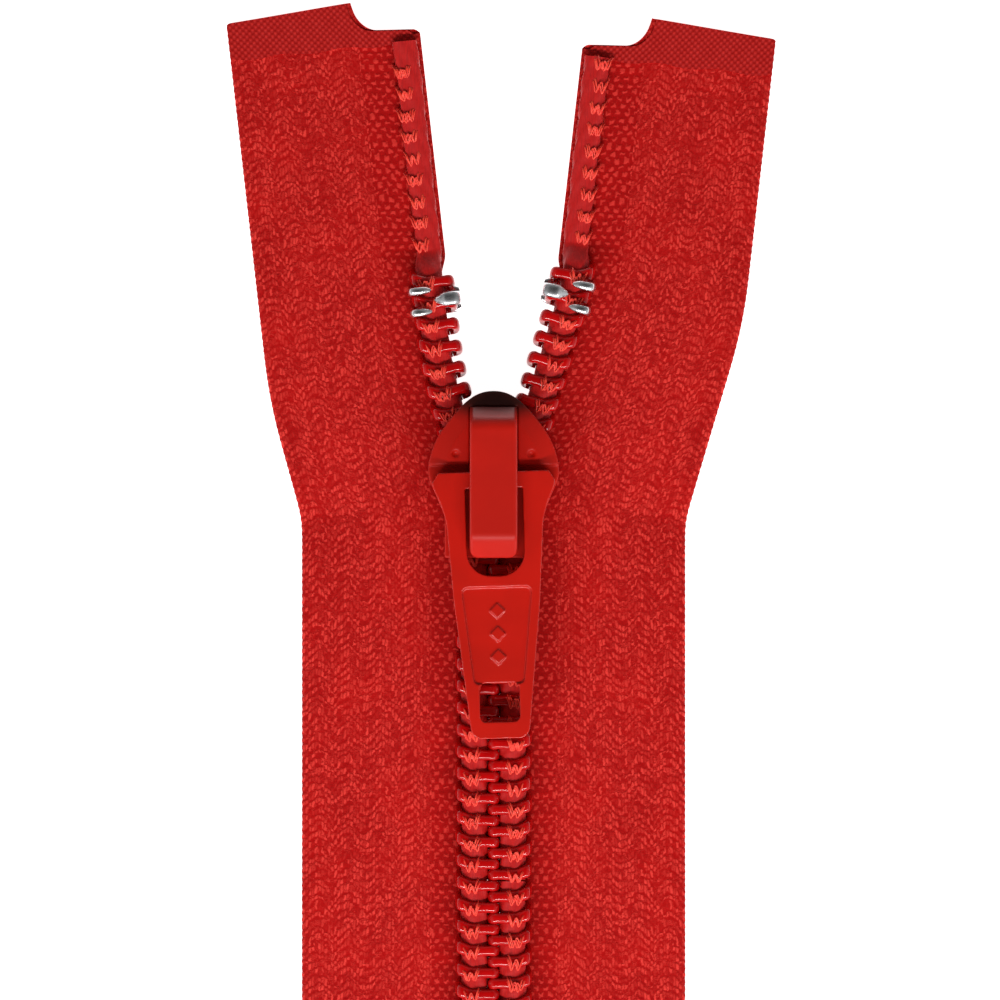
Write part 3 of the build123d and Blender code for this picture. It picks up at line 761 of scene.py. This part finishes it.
def cord_pieces(side):
    """The spun core cord inside the coil, bare above the stop."""
    coil_end = heads(side)[-1] + 0.9
    for part in PARTS:
        bottom = max(CUTS[PARTS.index(part)], coil_start - 0.4)
        top = CUTS[PARTS.index(part) + 1] if part != "top" else film_inner_v - short_end[side] + 0.25
        v = np.arange(bottom, top, 0.12)
        bare = ramp(v, coil_end + 0.9, 1.1)
        middle = 1.47 + 0.02 * np.sin(v * 1.1) - 0.22 * bare
        z = cord_height_at(v, coil_end)
        line = np.stack([middle, v, z], 1)
        around = 28
        points = tube(line, 1.03 - 0.08 * bare, 0.55 - 0.22 * bare, np.array([1.0, 0, 0]), around, 2.3)
        ring = np.arange(len(v)).repeat(around)
        corner = np.tile(np.arange(around), len(v))
        twist = 2 * np.pi * (corner * 5 / around + v[ring] / 1.9)
        squeeze = 1 + 0.05 * np.cos(twist) + 0.012 * random.standard_normal(len(ring))
        centre = line[ring]
        points = centre + (points - centre) * squeeze[:, None]
        placed = place(side, points[:, 0], points[:, 1], points[:, 2])
        faces = tube_faces(len(v), around)
        piece = make_mesh(f"{SIDE_NAME[side]}_cord_{part}_yarn", placed,
                          faces[:, ::-1] if side > 0 else faces, CORD, points[:, :2])
        nodes = replaced_nodes(side, part, "core_cord")
        if nodes:
            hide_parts(*nodes)
        bend_with(piece, side, part)


def add_stitch(strand, v, z, drop, spread=1.0):
    """One W of needle thread over a coil leg, in three plies side by side."""
    jog = random.standard_normal(6) * 0.045
    shape = [
        (0.66, 0.4, -0.75), (0.55, 0.24, 0.0), (0.38, -0.34, -0.1), (0.24, -0.56, -0.24), (0.12, -0.04, 0.02),
        (-0.02, 0.16, 0.04), (-0.14, -0.3, -0.06), (-0.27, -0.58, -0.24), (-0.41, 0.0, 0.0),
        (-0.54, 0.32, -0.05), (-0.62, 0.5, -0.75),
    ]
    for ply, (side_step, up_step) in enumerate(((0.0, 0.0), (0.1, 0.07), (-0.08, -0.08))):
        corners = [
            (
                stitch_u + u * spread + side_step + jog[ply],
                v + length * drop + up_step + jog[3 + ply],
                z + rise,
            )
            for u, length, rise in shape
        ]
        line = rounded(corners, 2)
        strand.add(line, 0.065, 0.06, wide=(0.3, 0.3, 1.0))


def stitch_pieces(side):
    """The stitch line: W's over the coil legs and on the bare cord, and the looper's chain under the tape."""
    word = SIDE_NAME[side]
    coil_end = heads(side)[-1] + 0.9
    strands = {part: Strands(6) for part in PARTS}
    for head in heads(side):
        add_stitch(strands[part_of(head)], head + 0.3, 4.24, 1.0)
    for v in np.arange(coil_end + 2.2, film_inner_v - 0.3, pitch):
        add_stitch(strands["top"], v + 0.3, 2.62, 1.1, 0.95)
    under = tape_low - 0.06
    for v in np.arange(coil_start, film_inner_v - 0.5, pitch):
        loop = [
            (stitch_u - 0.02, v - 0.25, under - 0.02),
            (stitch_u + 0.26, v + 0.15, under),
            (stitch_u + 0.3, v + 0.9, under - 0.02),
            (stitch_u + 0.05, v + 1.62, under + 0.02),
            (stitch_u, v + 1.78, under + 0.05),
            (stitch_u - 0.05, v + 1.62, under + 0.02),
            (stitch_u - 0.3, v + 0.9, under - 0.02),
            (stitch_u - 0.26, v + 0.15, under),
            (stitch_u + 0.02, v - 0.25, under - 0.02),
        ]
        strands[part_of(v)].add(rounded(loop, 2), 0.1, 0.085, wide=(0.0, 0.0, 1.0))
    for part, strand in strands.items():
        piece = strand.make(f"{word}_stitches_{part}_thread", side, THREAD)
        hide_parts(*replaced_nodes(side, part, "sewing_thread"))
        bend_with(piece, side, part)


# ---------------------------------------------------------------- top stops
def stop_piece(side):
    """A clamped stop: a strip under the tape, a tab folded over the coupling heads and two prongs."""
    word = SIDE_NAME[side]
    strip = Strands(14)
    under = tape_low - 0.22
    middle = stop_line - 0.05 + (stop_step if side == RIGHT else 0)
    tab_u, prong_foot = head_u - 0.62, 3.05
    level = np.linspace(0, 1, 30)
    line = np.stack([tab_u + (prong_foot - tab_u) * level, np.full(30, middle), np.full(30, under)], 1)
    strip.add(line, 1.08 - 0.25 * (2 * level - 1) ** 6, 0.12, squareness=4)
    tab = rounded([
        (0.4, middle, under), (tab_u, middle, under), (tab_u + 0.05, middle, 4.0),
        (tab_u + 0.2, middle, 4.6), (0.25, middle, 4.75), (0.6, middle, 4.6), (1.15, middle, 4.2),
    ])
    along = np.linspace(0, 1, len(tab))
    strip.add(tab, 0.52 - 0.42 * np.clip((along - 0.7) / 0.3, 0, 1) ** 1.6, 0.17, squareness=2.1)
    for v, reach in ((middle - 0.84, 1.6), (middle + 0.84, 1.5)):
        prong = rounded([
            (prong_foot - 0.4, v, under), (prong_foot, v, under), (prong_foot + 0.04, v, 4.2),
            (prong_foot - 0.15, v, 4.78), (reach + 0.5, v, 4.7), (reach, v, 4.36),
        ])
        along = np.linspace(0, 1, len(prong))
        strip.add(prong, 0.31 - 0.22 * np.clip((along - 0.7) / 0.3, 0, 1) ** 1.6, 0.19, squareness=2.0)
    piece = strip.make(f"{word}_top_stop_clamped", side, STOP_METAL)
    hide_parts(f"{word}_top_stop")
    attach(piece, f"{word}_upper")


# ---------------------------------------------------------------- castings and mouldings
def softened(node, name, voxel, smoothing, material, body):
    """A copy of a CAD node with its edges rounded as a casting's are, standing for the node."""
    source = frame["nodes"][node]
    piece = bpy.data.objects.new(name, source.data.copy())
    bpy.context.scene.collection.objects.link(piece)
    piece.data.materials.clear()
    piece.data.materials.append(material)
    remesh = piece.modifiers.new("remesh", "REMESH")
    remesh.mode = "VOXEL"
    remesh.voxel_size = voxel * MM
    remesh.use_smooth_shade = True
    smooth = piece.modifiers.new("smooth", "SMOOTH")
    smooth.factor = 0.5
    smooth.iterations = smoothing
    evaluated = piece.evaluated_get(bpy.context.evaluated_depsgraph_get())
    mesh = bpy.data.meshes.new_from_object(evaluated)
    piece.modifiers.clear()
    piece.data = mesh
    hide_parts(node)
    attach(piece, body)
    return piece


def castings():
    softened("slider_body", "slider_body_cast", 0.085, 5, SHADED_NOSE_ENAMEL, "slider")
    softened("slider_cover", "slider_cover_cast", 0.06, 5, SHADED_NOSE_ENAMEL, "slider")
    softened("pull_tab", "pull_tab_cast", 0.06, 5, ENAMEL_PAINT, "pull")
    softened("retainer_box", "retainer_box_moulded", 0.08, 4, PLASTIC, "bottom")
    softened("retainer_pin", "retainer_pin_moulded", 0.06, 4, PLASTIC, "bottom")
    softened("insertion_pin", "insertion_pin_moulded", 0.06, 4, PLASTIC, "bottom")
    spring = frame["nodes"]["lock_spring"]
    spring.data.materials.clear()
    spring.data.materials.append(SPRING_METAL)


# ---------------------------------------------------------------- floor, light and camera
def area_light(name, place_mm, target_mm, width, depth, power, colour=(1, 1, 1)):
    data = bpy.data.lights.new(name, "AREA")
    data.shape = "RECTANGLE"
    data.size = width * MM
    data.size_y = depth * MM
    data.energy = power
    data.color = colour
    light = bpy.data.objects.new(name, data)
    bpy.context.scene.collection.objects.link(light)
    light.location = [c * MM for c in place_mm]
    aim = Vector(target_mm) - Vector(place_mm)
    light.rotation_euler = aim.to_track_quat("-Z", "Y").to_euler()
    return light


def studio():
    """A white floor that glows to wash out the shadows cast on it, one strip light from the lower side, and a
    sky that is darkest overhead.
    """
    reach = 3000 * MM
    floor_gap = 0.02 * MM
    corners = [(-reach, -reach), (reach, -reach), (reach, reach), (-reach, reach)]
    points = np.array([(x, y, -floor_gap) for x, y in corners])
    floor = make_mesh("floor", points, [[0, 1, 2, 3]], floor_material())
    world = bpy.data.worlds.new("studio")
    world.use_nodes = True
    tree = world.node_tree
    direction = tree.nodes.new("ShaderNodeTexCoord").outputs["Generated"]
    parts = tree.nodes.new("ShaderNodeSeparateXYZ")
    tree.links.new(direction, parts.inputs[0])
    fades = []
    for axis, low, high, at_low, at_high in ((2, 0.6, 0.97, 1.0, 0.1), (1, -0.6, 0.3, 0.75, 0.25)):
        fade = tree.nodes.new("ShaderNodeMapRange")
        fade.interpolation_type = "SMOOTHSTEP"
        tree.links.new(parts.outputs[axis], fade.inputs["Value"])
        for socket, value in (("From Min", low), ("From Max", high), ("To Min", at_low), ("To Max", at_high)):
            fade.inputs[socket].default_value = value
        fades.append(fade)
    product = tree.nodes.new("ShaderNodeMath")
    product.operation = "MULTIPLY"
    tree.links.new(fades[0].outputs["Result"], product.inputs[0])
    tree.links.new(fades[1].outputs["Result"], product.inputs[1])
    tree.links.new(product.outputs[0], tree.nodes["Background"].inputs[1])
    tree.nodes["Background"].inputs[0].default_value = (1, 1, 1, 1)
    bpy.context.scene.world = world
    area_light("bar", (0, -300, 380), (0, 20, 0), 700, 45, 2.9)
    view = bpy.data.cameras.new("camera")
    view.type = "PERSP"
    view.lens = 400
    view.sensor_width = 36
    view.clip_start = 0.01
    view.clip_end = 20
    camera = bpy.data.objects.new("camera", view)
    bpy.context.scene.collection.objects.link(camera)
    frame_size = 78.1
    chain_level = 2.5
    height = frame_size * view.lens / view.sensor_width + chain_level
    camera.location = (0.5 * MM, (nose - 8.5) * MM, height * MM)
    bpy.context.scene.camera = camera
    bpy.context.scene.view_settings.view_transform = "Standard"


for side in (LEFT, RIGHT):
    for part in PARTS:
        tape_piece(side, part)
    films(side)
    coil_pieces(side)
    cord_pieces(side)
    stitch_pieces(side)
    stop_piece(side)
castings()
studio()
